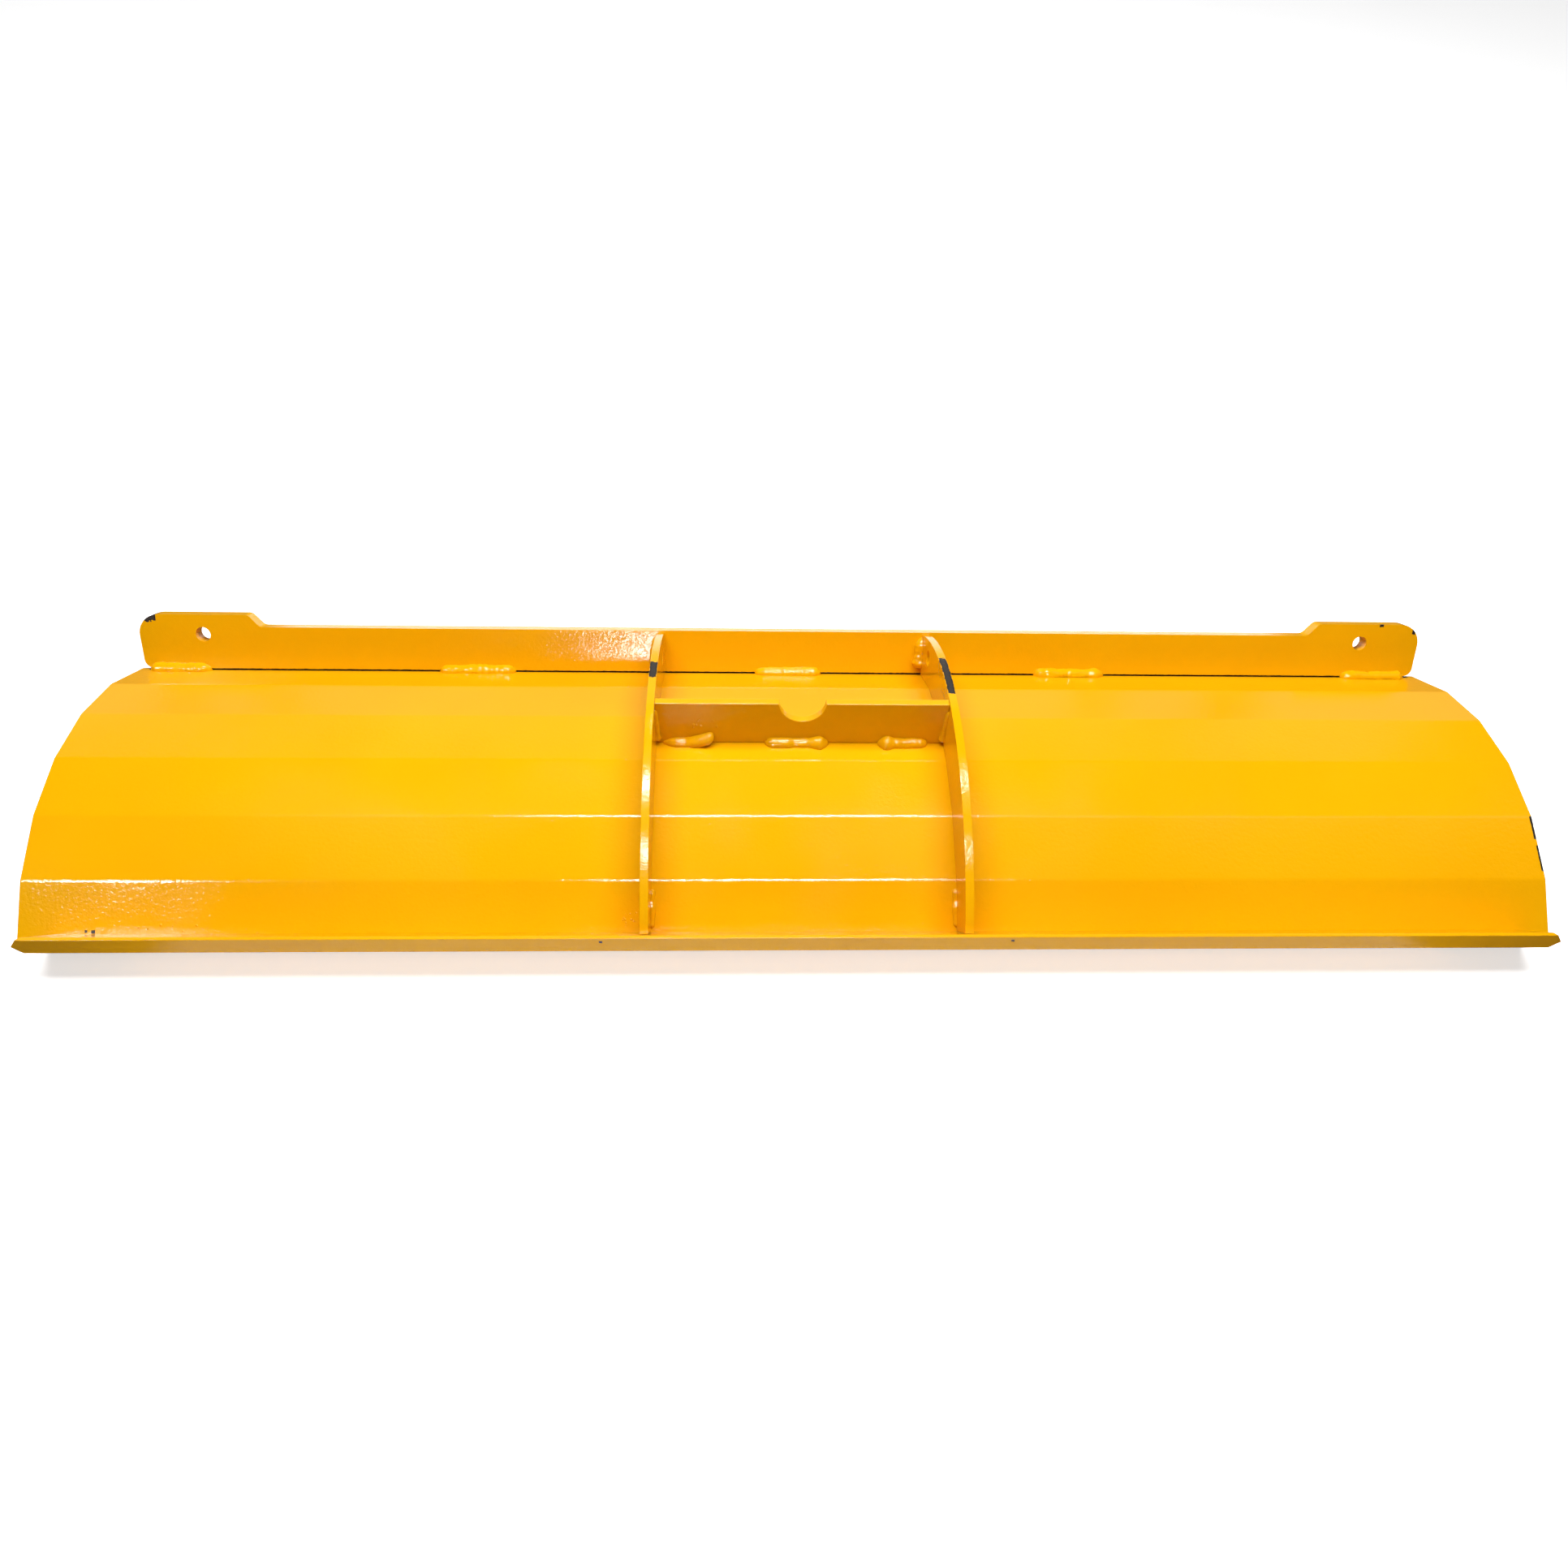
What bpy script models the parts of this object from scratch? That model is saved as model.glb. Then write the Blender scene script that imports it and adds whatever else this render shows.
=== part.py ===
"""Welded blade-type bucket back for a skid steer: one press-braked shell with
two edge bars, two curved ribs, a notched cross plate and the weld beads that
tie them together.  The part lies hollow side down on its two long shell edges.
X runs along the width, Y from the bottom bar to the top bar, Z is up.
Sizes are metres, angles are degrees."""
import math

import bmesh
import bpy
from mathutils import Vector

# ------------------------------------------------------------ general fits
FIT_GAP = 0.0003            # clearance between two plates that touch
HOLE_SIDES = 48             # straight sides that stand for a drilled circle

# ------------------------------------------------------------------- shell
SHELL_WIDTH = 1.829         # overall width, 72 in
SHELL_THICKNESS = 0.006
FACET_LENGTH = 0.0795       # flat between two press-brake bends
TOP_FACET_LENGTH = 0.0850   # last flat, ends under the top bar
FACET_COUNT = 6
BEND_ANGLE = 13.0
BEND_RADIUS = 0.022         # outside radius of each bend
BEND_STEPS = 4

# ----------------------------------------------------------------- top bar
TOP_BAR_END_INSET = 0.0095  # shell end to bar end
TOP_BAR_HEIGHT = 0.059
TOP_BAR_THICKNESS = 0.019
TOP_BAR_POSITION = 0.075    # front face measured along the last flat
TOP_BAR_ROOT_GAP = 0.0022   # open joint left between bar and shell
EAR_RISE = 0.017            # how far each end ear stands above the bar
EAR_WIDTH = 0.150           # ear measured along its top edge
EAR_SLOPE = 0.015           # run of the slope down to the bar
EAR_CORNER_RADIUS = 0.030
EAR_FOOT_RADIUS = 0.012     # the ear's lower outer corner
EAR_SLOPE_RADIUS = 0.010    # both corners of the slope
EAR_HOLE_DIAMETER = 0.020
EAR_HOLE_INSET = 0.086      # hole centre from the end of the bar
EAR_HOLE_HEIGHT = 0.0485    # hole centre above the bar's lower edge

# -------------------------------------------------------------- bottom bar
BOTTOM_BAR_END_INSET = 0.031  # shell end to the bar's point
BOTTOM_BAR_THICKNESS = 0.018
BOTTOM_BAR_DEPTH = 0.066    # how far it stands off the shell
BOTTOM_BAR_UNDERCUT = 0.013  # the free face slopes back by this much
BOTTOM_BAR_CHAMFER = 0.003
BOTTOM_BAR_POINT = 0.011    # length of the double-bevelled end
BOTTOM_BAR_POINT_LEVEL = 0.0072  # point above the bar's lower face

# -------------------------------------------------------------------- ribs
RIB_INNER_SPACING = 0.365   # clear distance between the two ribs
RIB_THICKNESS = 0.010
RIB_FOOT_HEIGHT = 0.048     # stand-off from the shell at the bottom bar
RIB_CROWN_HEIGHT = 0.067    # stand-off at the cross plate
RIB_TOP_HEIGHT = 0.0575     # stand-off at the top bar
RIB_CORNER_SNIPE = 0.007    # corner cut away beside the top bar's seam
RIB_HOLE_DIAMETER = 0.022
RIB_HOLE_HEIGHT = 0.037     # hole centre above the shell
RIB_HOLE_ALONG = 0.021      # hole centre past the last bend
RIB_ARC_STEPS = 32

# ------------------------------------------------------------- cross plate
CROSS_FACET = 3             # the shell flat it stands on, counted from 0
CROSS_POSITION = 0.0315     # front face measured along that flat
CROSS_THICKNESS = 0.010
CROSS_HEIGHT = 0.0665
NOTCH_RADIUS = 0.029
NOTCH_STEPS = 24

# -------------------------------------------------------------- weld beads
WELD_LEG = 0.009
WELD_CROWN = 0.0012         # how far the bead bulges past a flat fillet
WELD_TAPER = 0.009          # length over which each end runs out
WELD_END_SCALE = 0.45
WELD_PROFILE_STEPS = 6
TOP_STITCH_LENGTHS = (0.078, 0.101, 0.089, 0.097, 0.088)
TOP_STITCH_END_INSETS = (0.0490, 0.0590)    # bar end to the outer centres
TOP_STITCH_SHARES = (-0.4928, -0.0088, 0.4398)  # inner centres, half bars
CROSS_STITCH_LENGTHS = (0.060, 0.076, 0.059)
CROSS_STITCH_END_INSETS = (0.0405, 0.0525)  # rib face to the outer centres
CROSS_STITCH_MIDDLE = -0.005
RIB_TOP_WELD_START = 0.012  # upright bead between rib and top bar
RIB_TOP_WELD_MARGIN = 0.0092    # bead end to the bar's upper edge
CROSS_END_WELD = 0.048      # upright bead between rib and cross plate
CROSS_END_WELD_START = 0.006
CROSS_END_WELD_LEG = 0.0055
RIB_FOOT_WELD = 0.044       # bead between rib and shell near the foot
RIB_FOOT_WELD_START = 0.006
RIB_FOOT_WELD_LEG = 0.0060

# --------------------------------------------------------------- materials
PAINT_YELLOW = (0.86, 0.49, 0.01, 1.0)
PAINT_ROUGHNESS = 0.28


def clear_scene():
    """Remove whatever the file opened with."""
    for item in list(bpy.data.objects):
        bpy.data.objects.remove(item, do_unlink=True)


def paint(name):
    """Make one named yellow paint material.

    Args:
        name: name of the piece that carries it.

    Returns:
        The material.
    """
    material = bpy.data.materials.new(name + "_paint")
    material.use_nodes = True
    shader = material.node_tree.nodes["Principled BSDF"]
    shader.inputs["Base Color"].default_value = PAINT_YELLOW
    shader.inputs["Roughness"].default_value = PAINT_ROUGHNESS
    material.diffuse_color = PAINT_YELLOW
    return material


def new_piece(name, points, faces):
    """Turn points and faces into one named piece.

    Args:
        name: node name.
        points: corner positions.
        faces: corner numbers of each face, counter-clockwise from outside.

    Returns:
        The new object.
    """
    mesh = bpy.data.meshes.new(name)
    mesh.from_pydata([tuple(p) for p in points], [], faces)
    mesh.validate()
    mesh.materials.append(paint(name))
    piece = bpy.data.objects.new(name, mesh)
    bpy.context.scene.collection.objects.link(piece)
    return piece


def face_outward(piece):
    """Turn every face of a closed piece to look outward."""
    shape = bmesh.new()
    shape.from_mesh(piece.data)
    bmesh.ops.recalc_face_normals(shape, faces=shape.faces)
    shape.to_mesh(piece.data)
    shape.free()


def top_bar_half():
    """Half the top bar's length."""
    return SHELL_WIDTH * 0.5 - TOP_BAR_END_INSET


def bottom_bar_half():
    """Half the bottom bar's length, to its point."""
    return SHELL_WIDTH * 0.5 - BOTTOM_BAR_END_INSET


class ShellSection:
    """The shell's bent outline seen from its end, in the Y-Z plane."""

    def __init__(self):
        self.lengths = [FACET_LENGTH] * (FACET_COUNT - 1) + [TOP_FACET_LENGTH]
        self.tilt = 0.0
        self.shift = (0.0, 0.0)
        low, high = self.rest_corners()
        self.tilt = -math.atan2(high[1] - low[1], high[0] - low[0])
        low, high = self.rest_corners()
        self.shift = (-0.5 * (low[0] + high[0]), -low[1])

    def heading(self, facet):
        """Direction and outward normal of one flat."""
        angle = self.tilt - math.radians(BEND_ANGLE) * facet
        return ((math.cos(angle), math.sin(angle)),
                (-math.sin(angle), math.cos(angle)))

    def corner(self, number):
        """Sharp outer corner before the numbered flat."""
        y, z = self.shift
        for facet in range(number):
            along, _ = self.heading(facet)
            y += along[0] * self.lengths[facet]
            z += along[1] * self.lengths[facet]
        return y, z

    def at(self, facet, along, height):
        """Point on a flat: distance along it and height above it."""
        y, z = self.corner(facet)
        ahead, out = self.heading(facet)
        return (y + ahead[0] * along + out[0] * height,
                z + ahead[1] * along + out[1] * height)

    def rest_corners(self):
        """The two inner edges the shell rests on."""
        last = FACET_COUNT - 1
        return (self.at(0, 0.0, -SHELL_THICKNESS),
                self.at(last, self.lengths[last], -SHELL_THICKNESS))

    def bend_points(self, bend, height):
        """Rounded outline of one bend, offset outward by a height."""
        half = math.radians(BEND_ANGLE) * 0.5
        y, z = self.corner(bend)
        before = self.tilt - math.radians(BEND_ANGLE) * (bend - 1)
        middle = before - half + math.pi * 0.5
        reach = BEND_RADIUS / math.cos(half)
        centre = (y - math.cos(middle) * reach, z - math.sin(middle) * reach)
        radius = BEND_RADIUS + height
        points = []
        for step in range(BEND_STEPS + 1):
            turn = middle + half - 2.0 * half * step / BEND_STEPS
            points.append((centre[0] + math.cos(turn) * radius,
                           centre[1] + math.sin(turn) * radius))
        return points

    def outline(self, height, start, end):
        """Outline from a start on the first flat to an end on the last."""
        points = [self.at(0, start, height)]
        for bend in range(1, FACET_COUNT):
            points.extend(self.bend_points(bend, height))
        points.append(self.at(FACET_COUNT - 1, end, height))
        return points


def extrude_outline(name, outline, start, end):
    """Extrude a flat outline between two planes.

    Args:
        name: node name.
        outline: ring of points on the first plane.
        start: offset added to every point for the first face.
        end: offset added to every point for the last face.

    Returns:
        The new piece.
    """
    count = len(outline)
    points = [Vector(p) + Vector(start) for p in outline]
    points += [Vector(p) + Vector(end) for p in outline]
    faces = [tuple(range(count)), tuple(range(2 * count - 1, count - 1, -1))]
    for one in range(count):
        two = (one + 1) % count
        faces.append((one, one + count, two + count, two))
    piece = new_piece(name, points, faces)
    face_outward(piece)
    return piece


def drill(piece, name, centre, axis, diameter):
    """Cut a round hole through a piece.

    Args:
        piece: piece to cut.
        name: name of the hidden cutter.
        centre: point on the hole's axis.
        axis: direction of the hole.
        diameter: hole diameter.
    """
    bpy.ops.mesh.primitive_cylinder_add(vertices=HOLE_SIDES,
                                        radius=diameter * 0.5, depth=0.06,
                                        location=centre)
    cutter = bpy.context.object
    cutter.name = name
    cutter.rotation_euler = Vector(axis).to_track_quat("Z", "Y").to_euler()
    cutter.hide_render = True
    cutter.display_type = "WIRE"
    cut = piece.modifiers.new(name, "BOOLEAN")
    cut.operation = "DIFFERENCE"
    cut.solver = "EXACT"
    cut.object = cutter


def build_shell(section):
    """The bent shell plate."""
    last = section.lengths[-1]
    outer = section.outline(0.0, 0.0, last)
    inner = section.outline(-SHELL_THICKNESS, 0.0, last)
    ring = [(0.0, y, z) for y, z in outer + inner[::-1]]
    half = SHELL_WIDTH * 0.5
    return extrude_outline("shell_plate", ring, (-half, 0, 0), (half, 0, 0))


def arc_points(centre, radius, start, end, steps):
    """Points on an arc between two angles given in degrees."""
    result = []
    for step in range(steps + 1):
        angle = math.radians(start + (end - start) * step / steps)
        result.append((centre[0] + radius * math.cos(angle),
                       centre[1] + radius * math.sin(angle)))
    return result


def rounded_corner(before, corner, after, radius, steps):
    """Points of a fillet that replaces one corner of an outline.

    Args:
        before: outline point before the corner.
        corner: the sharp corner.
        after: outline point after the corner.
        radius: fillet radius.
        steps: straight sides of the fillet.

    Returns:
        Points from the first tangent point to the second.
    """
    back = (Vector(before) - Vector(corner)).normalized()
    ahead = (Vector(after) - Vector(corner)).normalized()
    half = back.angle(ahead) * 0.5
    centre = (Vector(corner) + (back + ahead).normalized()
              * (radius / math.sin(half)))
    start = Vector(corner) + back * (radius / math.tan(half)) - centre
    end = Vector(corner) + ahead * (radius / math.tan(half)) - centre
    return [tuple(centre + start.slerp(end, step / steps).normalized()
                  * radius) for step in range(steps + 1)]


def ear_outline():
    """Upper and outer outline of the right ear, inboard end first."""
    half = top_bar_half()
    high = TOP_BAR_HEIGHT + EAR_RISE
    sharp = [(0.0, TOP_BAR_HEIGHT),
             (half - EAR_WIDTH - EAR_SLOPE, TOP_BAR_HEIGHT),
             (half - EAR_WIDTH, high), (half, high), (half, 0.0), (0.0, 0.0)]
    fillets = ((EAR_SLOPE_RADIUS, 4), (EAR_SLOPE_RADIUS, 4),
               (EAR_CORNER_RADIUS, 10), (EAR_FOOT_RADIUS, 6))
    outline = []
    for number, (radius, steps) in enumerate(fillets, 1):
        outline += rounded_corner(sharp[number - 1], sharp[number],
                                  sharp[number + 1], radius, steps)
    return outline


def build_top_bar(section):
    """Flat bar with a raised, drilled ear at each end."""
    half = top_bar_half()
    side = ear_outline()
    flat = side + [(-x, h) for x, h in side[::-1]]
    last = FACET_COUNT - 1
    front = TOP_BAR_POSITION
    ring = []
    for x, height in flat:
        y, z = section.at(last, front, TOP_BAR_ROOT_GAP + height)
        ring.append((x, y, z))
    along, _ = section.heading(last)
    back = Vector((0.0, along[0], along[1])) * TOP_BAR_THICKNESS
    bar = extrude_outline("top_flange_bar", ring, (0, 0, 0), back)
    y, z = section.at(last, front + TOP_BAR_THICKNESS * 0.5,
                      TOP_BAR_ROOT_GAP + EAR_HOLE_HEIGHT)
    for side_name, sign in (("left", -1), ("right", 1)):
        centre = (sign * (half - EAR_HOLE_INSET), y, z)
        drill(bar, "ear_hole_cutter_" + side_name, centre, back,
              EAR_HOLE_DIAMETER)
    return bar


def build_bottom_bar(section):
    """Thick edge bar with an undercut free face and pointed ends."""
    level = BOTTOM_BAR_POINT_LEVEL
    depth = BOTTOM_BAR_DEPTH
    chamfer = BOTTOM_BAR_CHAMFER
    top = BOTTOM_BAR_THICKNESS

    def free_face(along):
        share = 1.0 - along / (top - chamfer)
        return depth - BOTTOM_BAR_UNDERCUT * share

    lower = [(level, FIT_GAP), (0.0, FIT_GAP), (0.0, free_face(0.0)),
             (level, free_face(level))]
    upper = [(level, free_face(level)), (top - chamfer, depth),
             (top, depth - chamfer), (top, FIT_GAP), (level, FIT_GAP)]
    ring = lower + upper[1:-1]

    def reach(along):
        if along <= level:
            share = along / level
        else:
            share = (top - along) / (top - level)
        return bottom_bar_half() - BOTTOM_BAR_POINT * (1.0 - share)

    points = []
    for sign in (-1, 1):
        for along, height in ring:
            y, z = section.at(0, along, height)
            points.append((sign * reach(along), y, z))
    count = len(ring)
    faces = []
    for one in range(count):
        two = (one + 1) % count
        faces.append((one, two, two + count, one + count))
    low = [0, 1, 2, 3]
    high = [3, 4, 5, 6, 0]
    for cap in (low, high):
        faces.append(tuple(cap))
        faces.append(tuple(number + count for number in cap))
    bar = new_piece("bottom_bar", points, faces)
    face_outward(bar)
    return bar


def circle_through(one, two, three):
    """Centre and radius of the circle through three points."""
    ax, ay = two[0] - one[0], two[1] - one[1]
    bx, by = three[0] - one[0], three[1] - one[1]
    turn = 2.0 * (ax * by - ay * bx)
    first = ax * ax + ay * ay
    second = bx * bx + by * by
    centre = (one[0] + (by * first - ay * second) / turn,
              one[1] + (ax * second - bx * first) / turn)
    return centre, math.hypot(one[0] - centre[0], one[1] - centre[1])


def rib_outline(section):
    """Ring of a rib: shell side, top bar side, curved free edge, foot."""
    last = FACET_COUNT - 1
    foot = BOTTOM_BAR_THICKNESS + FIT_GAP
    front = TOP_BAR_POSITION - FIT_GAP
    base = section.outline(FIT_GAP, foot, front - RIB_CORNER_SNIPE)
    low = section.at(0, foot, RIB_FOOT_HEIGHT)
    crown = section.at(CROSS_FACET, CROSS_POSITION, RIB_CROWN_HEIGHT)
    high = section.at(last, front, RIB_TOP_HEIGHT)
    centre, radius = circle_through(low, crown, high)
    start = math.degrees(math.atan2(high[1] - centre[1], high[0] - centre[0]))
    end = math.degrees(math.atan2(low[1] - centre[1], low[0] - centre[0]))
    edge = arc_points(centre, radius, start, end, RIB_ARC_STEPS)
    return base + [section.at(last, front, RIB_CORNER_SNIPE)] + edge


def build_rib(section, name, sign):
    """One curved rib standing on the shell."""
    ring = [(0.0, y, z) for y, z in rib_outline(section)]
    inner = sign * RIB_INNER_SPACING * 0.5
    outer = inner + sign * RIB_THICKNESS
    rib = extrude_outline(name, ring, (inner, 0, 0), (outer, 0, 0))
    y, z = section.at(FACET_COUNT - 1, RIB_HOLE_ALONG, RIB_HOLE_HEIGHT)
    drill(rib, name + "_hole_cutter", (0.5 * (inner + outer), y, z),
          (1, 0, 0), RIB_HOLE_DIAMETER)
    return rib


def build_cross_plate(section):
    """Plate between the ribs with a half-round notch in its free edge."""
    half = RIB_INNER_SPACING * 0.5 - FIT_GAP
    notch = arc_points((0.0, CROSS_HEIGHT), NOTCH_RADIUS, 0.0, -180.0,
                       NOTCH_STEPS)
    flat = [(half, FIT_GAP), (half, CROSS_HEIGHT)] + notch
    flat += [(-half, CROSS_HEIGHT), (-half, FIT_GAP)]
    ring = []
    for x, height in flat:
        y, z = section.at(CROSS_FACET, CROSS_POSITION, height)
        ring.append((x, y, z))
    along, _ = section.heading(CROSS_FACET)
    back = Vector((0.0, along[0], along[1])) * CROSS_THICKNESS
    return extrude_outline("cross_plate", ring, (0, 0, 0), back)


def weld_profile(leg, scale):
    """Cross-section of a fillet bead as distances along its two plates."""
    leg = leg * scale
    points = [(FIT_GAP, FIT_GAP), (leg, FIT_GAP)]
    for step in range(1, WELD_PROFILE_STEPS):
        share = step / WELD_PROFILE_STEPS
        bulge = WELD_CROWN * scale * math.sin(math.pi * share) * 0.7071
        points.append((leg + (FIT_GAP - leg) * share + bulge,
                       FIT_GAP + (leg - FIT_GAP) * share + bulge))
    points.append((FIT_GAP, leg))
    return points


def build_weld(name, corner, run, first, second, length, leg=WELD_LEG):
    """One weld bead in the inside corner of two plates.

    Args:
        name: node name.
        corner: middle of the bead on the corner line.
        run: unit direction along the bead.
        first: unit direction along the first plate, away from the corner.
        second: unit direction along the second plate.
        length: overall bead length.
        leg: width of the bead on each plate.

    Returns:
        The new piece.
    """
    run, first, second = Vector(run), Vector(first), Vector(second)
    half = length * 0.5
    stations = []
    for step in range(4):
        share = step / 3.0
        scale = WELD_END_SCALE + (1.0 - WELD_END_SCALE) * math.sin(
            share * math.pi * 0.5)
        stations.append((-half + WELD_TAPER * share, scale))
    stations += [(-place, scale) for place, scale in stations[::-1]]
    points = []
    for place, scale in stations:
        for a, b in weld_profile(leg, scale):
            points.append(Vector(corner) + run * place + first * a
                          + second * b)
    count = WELD_PROFILE_STEPS + 2
    faces = [tuple(range(count)),
             tuple(range(len(points) - 1, len(points) - count - 1, -1))]
    for row in range(len(stations) - 1):
        for one in range(count):
            two = (one + 1) % count
            faces.append((row * count + one, (row + 1) * count + one,
                          (row + 1) * count + two, row * count + two))
    bead = new_piece(name, points, faces)
    face_outward(bead)
    return bead


def build_top_welds(section):
    """Stitches between the shell and the top bar."""
    last = FACET_COUNT - 1
    along, out = section.heading(last)
    y, z = section.at(last, TOP_BAR_POSITION, 0.0)
    half = top_bar_half()
    left, right = TOP_STITCH_END_INSETS
    centres = [left - half] + [half * share for share in TOP_STITCH_SHARES]
    centres.append(half - right)
    stitches = zip(centres, TOP_STITCH_LENGTHS)
    for number, (centre, length) in enumerate(stitches, 1):
        build_weld("weld_top_bar_%d" % number, (centre, y, z), (1, 0, 0),
                   (0, -along[0], -along[1]), (0, out[0], out[1]), length)


def build_cross_welds(section):
    """Stitches at the cross plate's foot and upright beads at its ends."""
    along, out = section.heading(CROSS_FACET)
    ahead, up = (0, -along[0], -along[1]), (0, out[0], out[1])
    y, z = section.at(CROSS_FACET, CROSS_POSITION, 0.0)
    half = RIB_INNER_SPACING * 0.5
    left, right = CROSS_STITCH_END_INSETS
    centres = (left - half, CROSS_STITCH_MIDDLE, half - right)
    stitches = zip(centres, CROSS_STITCH_LENGTHS)
    for number, (centre, length) in enumerate(stitches, 1):
        build_weld("weld_cross_plate_%d" % number, (centre, y, z),
                   (1, 0, 0), ahead, up, length)
    middle = CROSS_END_WELD_START + CROSS_END_WELD * 0.5
    y, z = section.at(CROSS_FACET, CROSS_POSITION, middle)
    for side_name, sign in (("left", -1), ("right", 1)):
        place = (sign * half, y, z)
        build_weld("weld_cross_end_" + side_name, place, up, ahead,
                   (-sign, 0, 0), CROSS_END_WELD, CROSS_END_WELD_LEG)


def build_rib_welds(section):
    """Beads between the ribs and the top bar, and at the ribs' feet."""
    last = FACET_COUNT - 1
    along, out = section.heading(last)
    length = (TOP_BAR_ROOT_GAP + TOP_BAR_HEIGHT - RIB_TOP_WELD_START
              - RIB_TOP_WELD_MARGIN)
    middle = RIB_TOP_WELD_START + length * 0.5
    y, z = section.at(last, TOP_BAR_POSITION, middle)
    low, rise = section.heading(0)
    foot_middle = (BOTTOM_BAR_THICKNESS + RIB_FOOT_WELD_START
                   + RIB_FOOT_WELD * 0.5)
    foot_y, foot_z = section.at(0, foot_middle, 0.0)
    for side_name, sign in (("left", -1), ("right", 1)):
        inner = sign * RIB_INNER_SPACING * 0.5
        outer = inner + sign * RIB_THICKNESS
        face, away = (outer, sign) if sign < 0 else (inner, -sign)
        build_weld("weld_rib_top_" + side_name, (face, y, z),
                   (0, out[0], out[1]), (0, -along[0], -along[1]),
                   (away, 0, 0), length)
        for face_name, face, away in (("inner", inner, -sign),
                                      ("outer", outer, sign)):
            build_weld("weld_rib_foot_%s_%s" % (side_name, face_name),
                       (face, foot_y, foot_z), (0, low[0], low[1]),
                       (away, 0, 0), (0, rise[0], rise[1]), RIB_FOOT_WELD,
                       RIB_FOOT_WELD_LEG)


def centre_on_floor():
    """Put the middle of the part's footprint box on the origin."""
    pieces = [o for o in bpy.data.objects if not o.hide_render]
    ys = [v.co.y for o in pieces for v in o.data.vertices]
    zs = [v.co.z for o in pieces for v in o.data.vertices]
    move = Vector((0.0, -0.5 * (min(ys) + max(ys)), -min(zs)))
    for item in bpy.data.objects:
        if item.hide_render:
            item.location += move
        else:
            for vertex in item.data.vertices:
                vertex.co += move


def main():
    """Build every piece."""
    clear_scene()
    section = ShellSection()
    build_shell(section)
    build_top_bar(section)
    build_bottom_bar(section)
    build_rib(section, "rib_left", -1)
    build_rib(section, "rib_right", 1)
    build_cross_plate(section)
    build_top_welds(section)
    build_cross_welds(section)
    build_rib_welds(section)
    centre_on_floor()


main()
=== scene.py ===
"""Studio scene of a welded skid steer bucket back.

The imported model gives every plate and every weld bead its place.  Each plate
is rebuilt here from its own solid with rounded, painted edges, each bead is
modelled afresh as run metal under a thick coat, and the paint, its chips and
the spatter are finished with node materials.  Lengths are metres.
"""
import logging
import math
import random
from dataclasses import dataclass, field
from enum import Enum
from typing import Dict, List, Sequence, Tuple

import bpy
from mathutils import Matrix, Vector, noise

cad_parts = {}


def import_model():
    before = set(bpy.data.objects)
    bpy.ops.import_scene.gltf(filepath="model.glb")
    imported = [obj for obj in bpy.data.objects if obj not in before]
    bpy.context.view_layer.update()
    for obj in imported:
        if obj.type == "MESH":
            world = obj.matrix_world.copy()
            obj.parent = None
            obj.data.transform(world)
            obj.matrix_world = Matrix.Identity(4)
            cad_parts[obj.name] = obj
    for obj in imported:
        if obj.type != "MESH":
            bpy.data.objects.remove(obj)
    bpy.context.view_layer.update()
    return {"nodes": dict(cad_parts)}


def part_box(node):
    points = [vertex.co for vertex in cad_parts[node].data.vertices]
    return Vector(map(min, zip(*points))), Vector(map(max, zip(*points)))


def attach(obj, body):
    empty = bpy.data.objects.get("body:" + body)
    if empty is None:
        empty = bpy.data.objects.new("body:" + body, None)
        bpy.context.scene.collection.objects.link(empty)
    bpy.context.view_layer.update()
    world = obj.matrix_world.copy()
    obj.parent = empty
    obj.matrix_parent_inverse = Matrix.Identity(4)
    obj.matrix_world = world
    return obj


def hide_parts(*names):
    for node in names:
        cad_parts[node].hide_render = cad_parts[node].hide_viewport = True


Triple = Tuple[float, float, float]
Colour = Tuple[float, float, float, float]
LOG = logging.getLogger("bucket_back")
BODY = "root"
ACROSS = Vector((1.0, 0.0, 0.0))


class Slot(Enum):
    """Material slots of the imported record."""

    PLATE = "plate_paint"
    WELD = "weld_paint"


class Bead(Enum):
    """How a weld bead ends and wanders."""

    EVEN = "even"
    CLIMBING = "climbing"
    HEAVY_START = "heavy at its start"
    HEAVY_END = "heavy at its end"
    FLARED_FOOT = "flared at its foot"


# ------------------------------------------------------------------ finishes
@dataclass(frozen=True)
class ChipAndShadePatch:
    """One place where the paint is gone, or a strip of painted shade laid the
    same way.

    Attributes:
        centre: middle of the patch.
        half: half size of the patch along each axis.
        ragged: how far the broken rim wanders.
    """

    centre: Triple
    half: Triple
    ragged: float = 0.0025


@dataclass(frozen=True)
class EnamelFinish:
    """Glossy yellow enamel over steel plate.

    Attributes:
        name: material name.
        colour: paint colour in full light.
        deep: colour where the coat lies thicker.
        roughness: mean surface roughness.
        smoother: how much roughness falls where the coat flowed out.
        rougher: how much it rises where the coat dried early.
        gloss_index: refractive index of the enamel.
        peel_size: grain of the orange peel, in lumps per metre.
        peel_height: depth of the orange peel.
        chips: bare patches, and strips of painted shade in the root gap.
    """

    name: str
    colour: Colour = (0.80, 0.385, 0.0016, 1.0)
    deep: Colour = (0.78, 0.362, 0.0012, 1.0)
    roughness: float = 0.075
    smoother: float = 0.03
    rougher: float = 0.04
    gloss_index: float = 1.45
    peel_size: float = 230.0
    peel_height: float = 0.00021
    chips: Tuple[ChipAndShadePatch, ...] = ()


@dataclass(frozen=True)
class BareSteelAndShade:
    """Dark primer and steel that shows inside a chip, also laid as painted
    shade in the root gap under the top bar.

    Attributes:
        steel: colour of the bare patch, and of the painted shade in the root
            gap.
        rim: colour along the broken edge of the paint.
        roughness: roughness of the bare patch.
    """

    steel: Colour = (0.030, 0.024, 0.021, 1.0)
    rim: Colour = (0.006, 0.005, 0.005, 1.0)
    roughness: float = 0.46


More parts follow.
